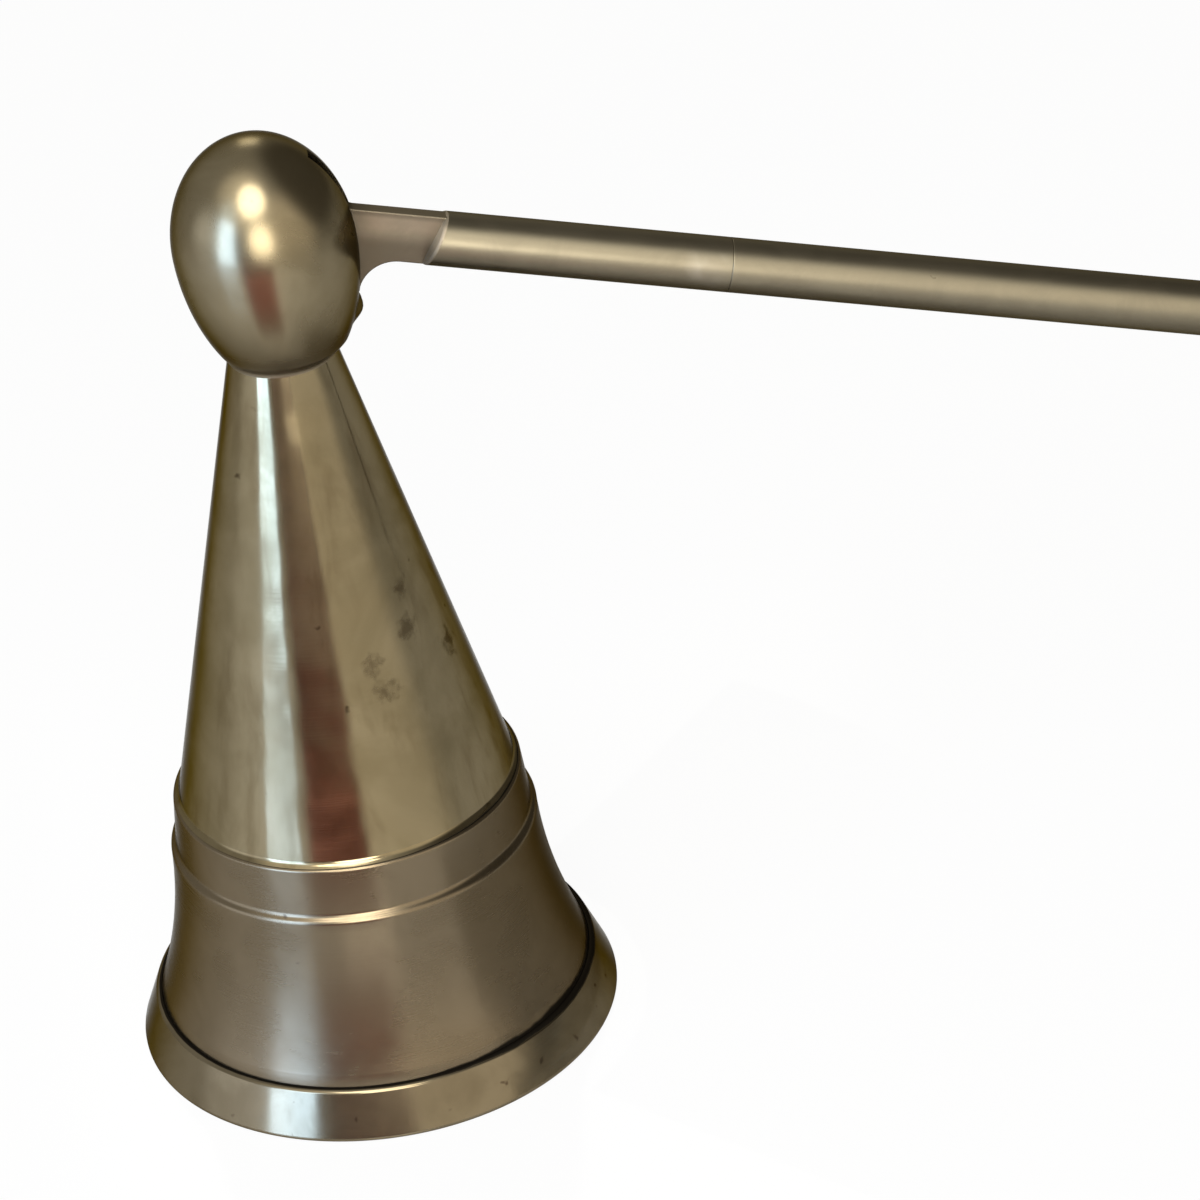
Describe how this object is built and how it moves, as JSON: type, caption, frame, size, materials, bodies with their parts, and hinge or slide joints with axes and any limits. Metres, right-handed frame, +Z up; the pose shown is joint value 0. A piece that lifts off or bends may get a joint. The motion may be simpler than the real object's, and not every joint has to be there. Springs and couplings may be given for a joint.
{
  "type": "candle snuffer",
  "caption": "Hinged brass candle snuffer: a stepped bell with a turned rim and an egg-shaped top, and a slim round handle that swings on a pin and ends in a ball.",
  "frame": {"origin": "centre of the bell's mouth, on the table that the rim stands on", "axes": "+Z up along the bell's axis, +X towards the handle's end, +Y along the hinge pin, to the pin's dressed end"},
  "size_m": [0.244, 0.0356, 0.0726],
  "materials": {
    "polished_brass": "polished, pale and a little tarnished",
    "satin_brass": "satin",
    "rod_brass": "satin, drawn along the rod",
    "stud_brass": "turned"
  },
  "bodies": {
    "bell": {"rim_ring": "polished_brass", "skirt": "satin_brass", "cone": "polished_brass", "ball_stud": "stud_brass", "ball": "polished_brass", "hinge_pin": "stud_brass"},
    "handle": {"front_rod": "rod_brass", "rod_stud": "stud_brass", "rear_rod": "rod_brass", "end_knob": "rod_brass"}
  },
  "joints": [
    {"name": "bell_hinge", "type": "hinge", "parent": "bell", "child": "handle", "pos_m": [0, 0, 0.06612], "axis": [0, -1, 0], "range_deg": [-3, 38]}
  ]
}
